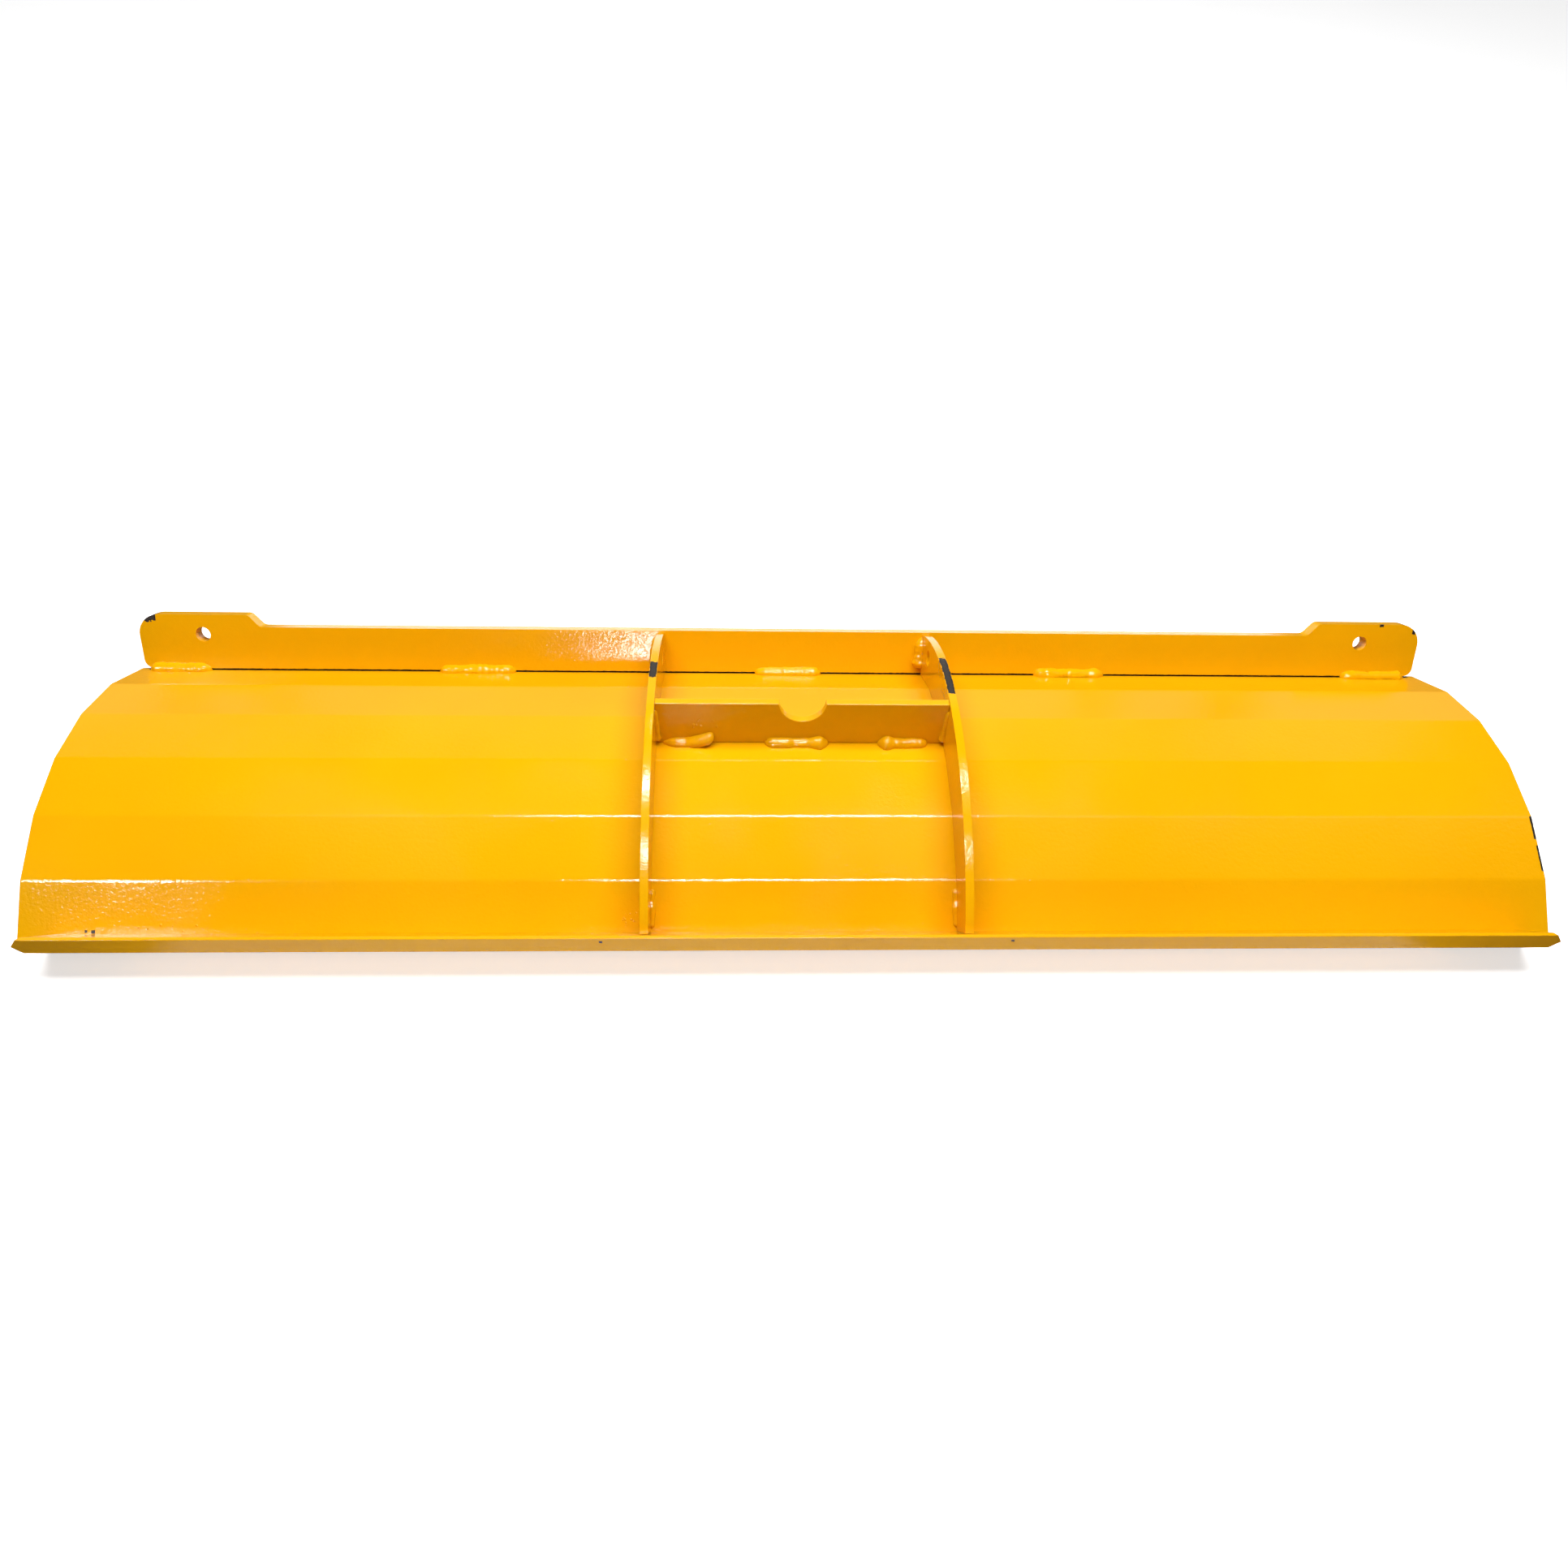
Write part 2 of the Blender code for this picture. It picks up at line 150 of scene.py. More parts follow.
@dataclass(frozen=True)
class StageFinish:
    """Pale floor of the studio, dark past the part's ends for every ray but
    the camera's: a painted dark reflection on the bottom bar's ends.

    Attributes:
        colour: what the camera sees.
        painted_dark_reflection: dark past the part's ends, seen by reflections
            and bounced light only, a painted dark reflection on the bottom
            bar's ends.
        reflection_pale_half: half width of the pale middle that reflections
            see.
        reflection_dark_edge: half width of the soft step to that dark.
        roughness: surface roughness.
        glow: lift that keeps the far floor pale.
    """

    colour: Colour = (0.90, 0.90, 0.90, 1.0)
    painted_dark_reflection: Colour = (0.10, 0.065, 0.035, 1.0)
    reflection_pale_half: float = 0.78
    reflection_dark_edge: float = 0.02
    roughness: float = 0.75
    glow: float = 0.66


class NodeSheet:
    """Short way to place and wire nodes in one node tree."""

    COLUMN_WIDTH = 190.0
    MIX_COLOUR_INPUTS = (0, 6, 7)
    MIX_COLOUR_RESULT = 2

    def __init__(self, tree: bpy.types.NodeTree) -> None:
        """Start on a tree."""
        self.tree = tree
        self.column = 0

    def add(self, kind: str, **settings: object) -> bpy.types.Node:
        """Place one node.

        Args:
            kind: node type name.
            **settings: properties to set on it.

        Returns:
            The node.
        """
        node = self.tree.nodes.new(kind)
        node.location = (self.column * self.COLUMN_WIDTH, 0.0)
        self.column += 1
        for key, value in settings.items():
            setattr(node, key, value)
        return node

    def wire(self, source: bpy.types.NodeSocket,
             target: bpy.types.NodeSocket) -> None:
        """Join an output to an input."""
        self.tree.links.new(source, target)

    def math(self, operation: str, first: object, second: object = 0.0,
             ) -> bpy.types.NodeSocket:
        """Add a Math node fed by sockets or numbers.

        Args:
            operation: what the node works out.
            first: first socket or number.
            second: second socket or number.

        Returns:
            The result socket.
        """
        node = self.add("ShaderNodeMath", operation=operation)
        for place, value in enumerate((first, second)):
            if isinstance(value, bpy.types.NodeSocket):
                self.wire(value, node.inputs[place])
            else:
                node.inputs[place].default_value = value
        return node.outputs[0]

    def vector_math(self, operation: str, first: object,
                    second: object) -> bpy.types.Node:
        """Add a Vector Math node fed by sockets or triples.

        Args:
            operation: what the node works out.
            first: first socket or triple.
            second: second socket or triple.

        Returns:
            The node.
        """
        node = self.add("ShaderNodeVectorMath", operation=operation)
        for place, value in enumerate((first, second)):
            if isinstance(value, bpy.types.NodeSocket):
                self.wire(value, node.inputs[place])
            else:
                node.inputs[place].default_value = value
        return node

    def remap(self, value: bpy.types.NodeSocket, low: float, high: float,
              to_low: float = 0.0, to_high: float = 1.0,
              ) -> bpy.types.NodeSocket:
        """Stretch a value from one range to another, clamped.

        Args:
            value: socket to stretch.
            low: start of its range.
            high: end of its range.
            to_low: result at the start.
            to_high: result at the end.

        Returns:
            The result socket.
        """
        node = self.add("ShaderNodeMapRange")
        self.wire(value, node.inputs["Value"])
        node.inputs["From Min"].default_value = low
        node.inputs["From Max"].default_value = high
        node.inputs["To Min"].default_value = to_low
        node.inputs["To Max"].default_value = to_high
        return node.outputs["Result"]

    def noise(self, place: bpy.types.NodeSocket, scale: object,
              detail: float, roughness: float = 0.5) -> bpy.types.Node:
        """Add a Noise Texture.

        Args:
            place: coordinates.
            scale: lumps per metre, a number or a socket.
            detail: how many finer layers it has.
            roughness: how strong those layers are.

        Returns:
            The node.
        """
        node = self.add("ShaderNodeTexNoise")
        self.wire(place, node.inputs["Vector"])
        if isinstance(scale, bpy.types.NodeSocket):
            self.wire(scale, node.inputs["Scale"])
        else:
            node.inputs["Scale"].default_value = scale
        node.inputs["Detail"].default_value = detail
        node.inputs["Roughness"].default_value = roughness
        return node

    def blend(self, share: object, first: object, second: object,
              ) -> bpy.types.NodeSocket:
        """Mix two colours.

        Args:
            share: how much of the second, a number or a socket.
            first: first colour or socket.
            second: second colour or socket.

        Returns:
            The result socket.
        """
        node = self.add("ShaderNodeMix", data_type="RGBA")
        for place, value in zip(self.MIX_COLOUR_INPUTS,
                                (share, first, second)):
            if isinstance(value, bpy.types.NodeSocket):
                self.wire(value, node.inputs[place])
            else:
                node.inputs[place].default_value = value
        return node.outputs[self.MIX_COLOUR_RESULT]


class PaintShop:
    """Shared shader groups and the materials made from them.

    Grains are in lumps per metre, other lengths in metres.
    """

    FINE_GRAIN, FINE_SHARE = 620.0, 0.45
    WAVE_GRAIN, WAVE_SHARE = 9.0, 6.0
    WAVE_RANGE = (0.35, 0.65)
    CHIP_GRAIN, CHIP_SPREAD, CHIP_SPILL = 210.0, 4.0, 0.3
    CHIP_STEP = (-0.0001, 0.0003)
    CHIP_RIM = (-0.0022, -0.0008)
    TONE_GRAIN, TONE_RANGE = 3.2, (0.38, 0.66)

    def __init__(self) -> None:
        """Build the shared groups once."""
        self.steel = BareSteelAndShade()
        self.peel = self._orange_peel()
        self.chip = self._chip_and_shade_mask()
        self.tone = self._coat_tone()

    @staticmethod
    def _group(name: str, inputs: Sequence[Tuple[str, str, object]],
               outputs: Sequence[Tuple[str, str]],
               ) -> Tuple[bpy.types.NodeTree, NodeSheet, bpy.types.Node,
                          bpy.types.Node]:
        """Start a shader group.

        Args:
            name: group name.
            inputs: name, socket type and default of each input.
            outputs: name and socket type of each output.

        Returns:
            The tree, its sheet, its input node and its output node.
        """
        tree = bpy.data.node_groups.new(name, "ShaderNodeTree")
        for label, kind, value in inputs:
            made = tree.interface.new_socket(label, in_out="INPUT",
                                             socket_type=kind)
            made.default_value = value
        for label, kind in outputs:
            tree.interface.new_socket(label, in_out="OUTPUT",
                                      socket_type=kind)
        sheet = NodeSheet(tree)
        return (tree, sheet, sheet.add("NodeGroupInput"),
                sheet.add("NodeGroupOutput"))

    def _orange_peel(self) -> bpy.types.NodeTree:
        """Lumpy surface of sprayed enamel.

        Returns:
            The group, which puts out a height and a patch mask.
        """
        tree, sheet, source, sink = self._group(
            "orange_peel", (("Scale", "NodeSocketFloat", 230.0),),
            (("Height", "NodeSocketFloat"), ("Patch", "NodeSocketFloat")))
        place = sheet.add("ShaderNodeTexCoord").outputs["Object"]
        lumps = sheet.noise(place, source.outputs["Scale"], detail=1.5)
        finer = sheet.noise(place, self.FINE_GRAIN, detail=1.0)
        waves = sheet.noise(place, self.WAVE_GRAIN, detail=1.0)
        patch = sheet.remap(waves.outputs["Fac"], *self.WAVE_RANGE)
        swell = sheet.math("MULTIPLY", waves.outputs["Fac"],
                           self.WAVE_SHARE)
        grain = sheet.math("MULTIPLY", finer.outputs["Fac"],
                           self.FINE_SHARE)
        height = sheet.math("ADD", lumps.outputs["Fac"], grain)
        height = sheet.math("ADD", height, swell)
        sheet.wire(height, sink.inputs["Height"])
        sheet.wire(patch, sink.inputs["Patch"])
        return tree

    def _chip_and_shade_mask(self) -> bpy.types.NodeTree:
        """Ragged patch around a point.

        Returns:
            The group, which puts out a bare mask and a mask of its rim.
        """
        tree, sheet, source, sink = self._group(
            "chip_and_shade_mask", (("Centre", "NodeSocketVector", (0.0, 0.0, 0.0)),
                          ("Half Size", "NodeSocketVector", (0.01,) * 3),
                          ("Ragged", "NodeSocketFloat", 0.002)),
            (("Bare", "NodeSocketFloat"), ("Rim", "NodeSocketFloat")))
        place = sheet.add("ShaderNodeTexCoord").outputs["Object"]
        away = sheet.vector_math("SUBTRACT", place, source.outputs["Centre"])
        away = sheet.vector_math("ABSOLUTE", away.outputs[0], (0, 0, 0))
        over = sheet.vector_math("SUBTRACT", away.outputs[0],
                                 source.outputs["Half Size"])
        parts = sheet.add("ShaderNodeSeparateXYZ")
        sheet.wire(over.outputs[0], parts.inputs[0])
        reach = sheet.math("MAXIMUM", parts.outputs[1], parts.outputs[2])
        broken = sheet.noise(place, self.CHIP_GRAIN, detail=3.0,
                             roughness=0.6)
        wander = sheet.math("SUBTRACT", broken.outputs["Fac"], 0.5)
        wander = sheet.math("MULTIPLY", wander, source.outputs["Ragged"])
        wander = sheet.math("MULTIPLY", wander, self.CHIP_SPREAD)
        reach = sheet.math("ADD", reach, wander)
        spill = sheet.math("MULTIPLY", wander, self.CHIP_SPILL)
        across = sheet.math("ADD", parts.outputs[0], spill)
        reach = sheet.math("MAXIMUM", reach, across)
        bare = sheet.remap(reach, *self.CHIP_STEP, 1.0, 0.0)
        rim = sheet.remap(reach, *self.CHIP_RIM)
        sheet.wire(bare, sink.inputs["Bare"])
        sheet.wire(sheet.math("MULTIPLY", rim, bare), sink.inputs["Rim"])
        return tree

    def _coat_tone(self) -> bpy.types.NodeTree:
        """Slow change of the coat's depth.

        Returns:
            The group, which puts out a share from thin to thick.
        """
        tree, sheet, source, sink = self._group(
            "coat_tone", (("Strength", "NodeSocketFloat", 1.0),),
            (("Share", "NodeSocketFloat"),))
        place = sheet.add("ShaderNodeTexCoord").outputs["Object"]
        clouds = sheet.noise(place, self.TONE_GRAIN, detail=3.0,
                             roughness=0.55)
        share = sheet.remap(clouds.outputs["Fac"], *self.TONE_RANGE)
        share = sheet.math("MULTIPLY", share, source.outputs["Strength"])
        sheet.wire(share, sink.inputs["Share"])
        return tree

    @staticmethod
    def _use(sheet: NodeSheet, tree: bpy.types.NodeTree) -> bpy.types.Node:
        """Place a shared group in a material.

        Args:
            sheet: the material's nodes.
            tree: the group.

        Returns:
            The group's node.
        """
        node = sheet.add("ShaderNodeGroup")
        node.node_tree = tree
        return node

    def enamel(self, finish: EnamelFinish) -> bpy.types.Material:
        """Make a painted material with its chips and its strips of painted
        shade.

        Args:
            finish: the paint to lay on.

        Returns:
            The material.
        """
        material = bpy.data.materials.new(finish.name)
        material.use_nodes = True
        tree = material.node_tree
        shader = tree.nodes["Principled BSDF"]
        sheet = NodeSheet(tree)
        shader.inputs["IOR"].default_value = finish.gloss_index
        tone = self._use(sheet, self.tone)
        colour = sheet.blend(tone.outputs["Share"], finish.colour,
                             finish.deep)
        peel = self._use(sheet, self.peel)
        peel.inputs["Scale"].default_value = finish.peel_size
        rough = sheet.remap(peel.outputs["Patch"], 0.0, 1.0,
                            finish.roughness - finish.smoother,
                            finish.roughness + finish.rougher)
        height = peel.outputs["Height"]
        # Chips lay bare steel; the root-gap strips on the shell and the top
        # bar lay the same dark as painted shade.
        for chip in finish.chips:
            mask = self._use(sheet, self.chip)
            mask.inputs["Centre"].default_value = chip.centre
            mask.inputs["Half Size"].default_value = chip.half
            mask.inputs["Ragged"].default_value = chip.ragged
            dark = sheet.blend(mask.outputs["Rim"], self.steel.steel,
                               self.steel.rim)
            colour = sheet.blend(mask.outputs["Bare"], colour, dark)
            lift = sheet.math("MULTIPLY", mask.outputs["Bare"],
                              self.steel.roughness - finish.roughness)
            rough = sheet.math("ADD", rough, lift)
            height = sheet.math("SUBTRACT", height, mask.outputs["Bare"])
        bump = sheet.add("ShaderNodeBump")
        bump.inputs["Strength"].default_value = 1.0
        bump.inputs["Distance"].default_value = finish.peel_height
        sheet.wire(height, bump.inputs["Height"])
        sheet.wire(colour, shader.inputs["Base Color"])
        sheet.wire(rough, shader.inputs["Roughness"])
        sheet.wire(bump.outputs["Normal"], shader.inputs["Normal"])
        return material

    def floor(self, finish: StageFinish) -> bpy.types.Material:
        """Make the floor's material: plain pale to the camera, dark past the
        part's ends for every other ray, a painted dark reflection on the
        bottom bar's ends.

        Args:
            finish: colour and roughness.

        Returns:
            The material.
        """
        material = bpy.data.materials.new("studio_floor")
        material.use_nodes = True
        tree = material.node_tree
        shader = tree.nodes["Principled BSDF"]
        shader.inputs["Roughness"].default_value = finish.roughness
        sheet = NodeSheet(tree)
        place = sheet.add("ShaderNodeTexCoord").outputs["Object"]
        parts = sheet.add("ShaderNodeSeparateXYZ")
        sheet.wire(place, parts.inputs[0])
        away = sheet.math("ABSOLUTE", parts.outputs[0])
        # Past the part's ends every ray but the camera's sees dark: painted
        # dark reflection on the bottom bar's ends.
        painted_dark_reflection = sheet.remap(away, finish.reflection_pale_half - finish.reflection_dark_edge,
                             finish.reflection_pale_half + finish.reflection_dark_edge)
        seen = sheet.add("ShaderNodeLightPath").outputs["Is Camera Ray"]
        unseen = sheet.math("SUBTRACT", 1.0, seen)
        painted_dark_reflection = sheet.math("MULTIPLY", painted_dark_reflection, unseen)
        colour = sheet.blend(painted_dark_reflection, finish.colour, finish.painted_dark_reflection)
        sheet.wire(colour, shader.inputs["Base Color"])
        shader.inputs["Emission Color"].default_value = finish.colour
        glow = sheet.math("MULTIPLY", seen, finish.glow)
        sheet.wire(glow, shader.inputs["Emission Strength"])
        return material


# -------------------------------------------------------------- workbench
class Workbench:
    """Modelling moves shared by every piece."""

    MERGE_DISTANCE = 0.00002
    FLAT_ANGLE = math.radians(0.4)
    SHARP_ANGLE = math.radians(24.0)
    SMOOTH_ANGLE = math.radians(35.0)
    ROUNDING_STEPS = 3
    FLAT_FACE_WEIGHT = 100

    @staticmethod
    def clear_selection() -> None:
        """Deselect everything in object mode."""
        bpy.ops.object.select_all(action="DESELECT")

    @classmethod
    def pick(cls, piece: bpy.types.Object) -> None:
        """Make one piece the only selected and active one.

        Args:
            piece: the piece.
        """
        cls.clear_selection()
        piece.select_set(True)
        bpy.context.view_layer.objects.active = piece

    @classmethod
    def copy_solid(cls, node: bpy.types.Object, name: str,
                   ) -> bpy.types.Object:
        """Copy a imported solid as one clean, joined mesh.

        Args:
            node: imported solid.
            name: name of the new piece.

        Returns:
            The new piece.
        """
        mesh = node.data.copy()
        mesh.name = name
        mesh.materials.clear()
        piece = bpy.data.objects.new(name, mesh)
        bpy.context.scene.collection.objects.link(piece)
        cls.pick(piece)
        bpy.ops.object.mode_set(mode="EDIT")
        bpy.ops.mesh.select_all(action="SELECT")
        bpy.ops.mesh.customdata_custom_splitnormals_clear()
        bpy.ops.mesh.remove_doubles(threshold=cls.MERGE_DISTANCE)
        bpy.ops.mesh.dissolve_limited(angle_limit=cls.FLAT_ANGLE)
        bpy.ops.mesh.normals_make_consistent(inside=False)
        bpy.ops.object.mode_set(mode="OBJECT")
        return piece

    @classmethod
    def round_edges(cls, piece: bpy.types.Object, width: float) -> None:
        """Round every sharp edge and shade the piece.

        Args:
            piece: piece to work on.
            width: width of the rounding.
        """
        cls.pick(piece)
        bevel = piece.modifiers.new("rounded_edges", "BEVEL")
        bevel.width = width
        bevel.segments = cls.ROUNDING_STEPS
        bevel.limit_method = "ANGLE"
        bevel.angle_limit = cls.SHARP_ANGLE
        bevel.use_clamp_overlap = True
        bpy.ops.object.modifier_apply(modifier=bevel.name)
        bpy.ops.object.shade_smooth_by_angle(angle=cls.SMOOTH_ANGLE)
        weighted = piece.modifiers.new("flat_faces", "WEIGHTED_NORMAL")
        weighted.keep_sharp = True
        weighted.weight = cls.FLAT_FACE_WEIGHT
        bpy.ops.object.modifier_apply(modifier=weighted.name)

    @classmethod
    def trim(cls, piece: bpy.types.Object, place: Vector,
             direction: Vector) -> None:
        """Cut away what lies against a direction and close the cut.

        Args:
            piece: piece to cut.
            place: point on the cutting plane.
            direction: side that is kept.
        """
        cls.pick(piece)
        bpy.ops.object.mode_set(mode="EDIT")
        bpy.ops.mesh.select_all(action="SELECT")
        bpy.ops.mesh.bisect(plane_co=place, plane_no=direction,
                            use_fill=True, clear_inner=True)
        bpy.ops.mesh.select_all(action="SELECT")
        bpy.ops.mesh.normals_make_consistent(inside=False)
        bpy.ops.object.mode_set(mode="OBJECT")

    @staticmethod
    def seat(piece: bpy.types.Object, slot: Slot,
             material: bpy.types.Material,
             nodes: Sequence[str] = ()) -> None:
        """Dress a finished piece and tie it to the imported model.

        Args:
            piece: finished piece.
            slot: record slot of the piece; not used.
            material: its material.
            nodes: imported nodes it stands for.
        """
        piece.data.materials.clear()
        piece.data.materials.append(material)
        if nodes:
            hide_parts(*nodes)
        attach(piece, BODY)
        LOG.info("%s: %d faces, %s", piece.name, len(piece.data.polygons),
                 material.name)


@dataclass
class BentShell:
    """The press-braked section that every other piece stands on.

    Attributes:
        first_heading: slope of the first flat, in degrees.
        bend: angle of one bend, in degrees.
        flats: number of flats.
        cross_flat: flat that carries the cross plate.
    """

    first_heading: float = 32.8847
    bend: float = 13.0
    flats: int = 6
    cross_flat: int = 3

    def along(self, flat: int) -> Vector:
        """Direction from the bottom bar to the top bar on one flat."""
        angle = math.radians(self.first_heading - self.bend * flat)
        return Vector((0.0, math.cos(angle), math.sin(angle)))

    def outward(self, flat: int) -> Vector:
        """Outward normal of one flat."""
        angle = math.radians(self.first_heading - self.bend * flat)
        return Vector((0.0, -math.sin(angle), math.cos(angle)))


# ------------------------------------------------------------------ plates
@dataclass
class PlateWork:
    """The six cut and bent plates, with worked edges.

    Attributes:
        shop: paint shop that makes the materials.
        nodes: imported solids.
        edge: rounding of a sheared plate edge.
        heavy_edge: rounding on the thick bottom bar.
    """

    shop: PaintShop
    nodes: Dict[str, bpy.types.Object]
    edge: float = 0.0011
    heavy_edge: float = 0.0008

    RIB_CHIP_HALF_X, RIB_CHIP_RAGGED = 0.0044, 0.0034

    @staticmethod
    def shell_chips_and_gap_shade() -> Tuple[ChipAndShadePatch, ...]:
        """Painted shade along the shell's top edge in the root gap, and bare
        steel on its end and at its foot.

        Returns:
            The strip of painted shade and the chips.
        """
        low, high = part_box("shell_plate")
        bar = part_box("top_flange_bar")[1].x
        return (
            # Painted shade: a dark strip on the shell in the root gap under
            # the top bar.
            ChipAndShadePatch((0.0, high.y - 0.0041, 0.0077),
                 (bar - 0.003, 0.0041, 0.0030), 0.0005),
            # Two knocks on the cut right-hand end.
            ChipAndShadePatch((high.x - 0.0020, -0.105, 0.0700),
                 (0.0014, 0.0140, 0.0070), 0.0010),
            ChipAndShadePatch((high.x - 0.0010, -0.142, 0.0560),
                 (0.0018, 0.0150, 0.0090), 0.0010),
            # Two nicks low down at the left.
            ChipAndShadePatch((low.x + 0.086, -0.2162, 0.0162),
                 (0.0022, 0.0014, 0.0014), 0.0008),
            ChipAndShadePatch((low.x + 0.078, -0.2162, 0.0162),
                 (0.0014, 0.0012, 0.0012), 0.0006))

    @staticmethod
    def top_bar_chips_and_gap_shade() -> Tuple[ChipAndShadePatch, ...]:
        """Painted shade along the top bar's foot in the root gap, and bare
        steel on its ears.

        Returns:
            The strip of painted shade and the chips.
        """
        low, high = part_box("top_flange_bar")
        return (
            # Painted shade: a dark strip on the bar's foot, inside the root
            # gap.
            ChipAndShadePatch((0.0, low.y + 0.0090, 0.0075),
                 (high.x, 0.0094, 0.0048), 0.0004),
            # The knocked corner of the left ear.
            ChipAndShadePatch((low.x + 0.0165, 0.2500, 0.0735),
                 (0.0090, 0.0160, 0.0050), 0.0022),
            # Two nicks on the right ear.
            ChipAndShadePatch((high.x - 0.0585, 0.2455, 0.0757),
                 (0.0028, 0.0030, 0.0020), 0.0008),
            ChipAndShadePatch((high.x - 0.0095, 0.2430, 0.0670),
                 (0.0022, 0.0040, 0.0036), 0.0010))

    @staticmethod
    def bottom_bar_chips() -> Tuple[ChipAndShadePatch, ...]:
        """Bare steel under the right tip and in two small marks.

        Returns:
            The chips.
        """
        _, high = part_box("bottom_bar")
        return (
            ChipAndShadePatch((high.x - 0.0030, -0.2520, 0.0500),
                 (0.0050, 0.0060, 0.0060), 0.0014),
            ChipAndShadePatch((-0.2347, -0.2583, 0.0631),
                 (0.0018, 0.0030, 0.0015), 0.0008),
            ChipAndShadePatch((0.2341, -0.2583, 0.0634),
                 (0.0018, 0.0030, 0.0015), 0.0008))

    @classmethod
    def rib_chip(cls, node: str, centre_y: float, centre_z: float,
                 half_y: float, half_z: float) -> Tuple[ChipAndShadePatch, ...]:
        """Bare steel across a rib's free edge.

        Args:
            node: the rib.
            centre_y: middle of the patch along the rib.
            centre_z: middle of the patch in height.
            half_y: half its length.
            half_z: half its height.

        Returns:
            The one chip.
        """
        low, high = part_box(node)
        return (ChipAndShadePatch(((low.x + high.x) * 0.5, centre_y, centre_z),
                     (cls.RIB_CHIP_HALF_X, half_y, half_z),
                     cls.RIB_CHIP_RAGGED),)

    def finishes(self) -> Dict[str, EnamelFinish]:
        """Choose the paint of every plate.

        Returns:
            Finish by node name.
        """
        return {
            "shell_plate": EnamelFinish("shell_enamel",
                                        chips=self.shell_chips_and_gap_shade()),
            "top_flange_bar": EnamelFinish("top_bar_enamel",
                                           chips=self.top_bar_chips_and_gap_shade()),
            "bottom_bar": EnamelFinish("bottom_bar_enamel",
                                       chips=self.bottom_bar_chips()),
            "rib_left": EnamelFinish(
                "rib_left_enamel", chips=self.rib_chip(
                    "rib_left", 0.0945, 0.1355, 0.0180, 0.0110)),
            "rib_right": EnamelFinish(
                "rib_right_enamel", chips=self.rib_chip(
                    "rib_right", 0.0870, 0.1360, 0.0400, 0.0200)),
            "cross_plate": EnamelFinish("cross_plate_enamel"),
        }

    def build(self) -> None:
        """Rebuild and paint every plate."""
        for node, finish in self.finishes().items():
            piece = Workbench.copy_solid(self.nodes[node], node + "_painted")
            heavy = node == "bottom_bar"
            Workbench.round_edges(piece, self.heavy_edge if heavy
                                  else self.edge)
            Workbench.seat(piece, Slot.PLATE, self.shop.enamel(finish),
                           (node,))


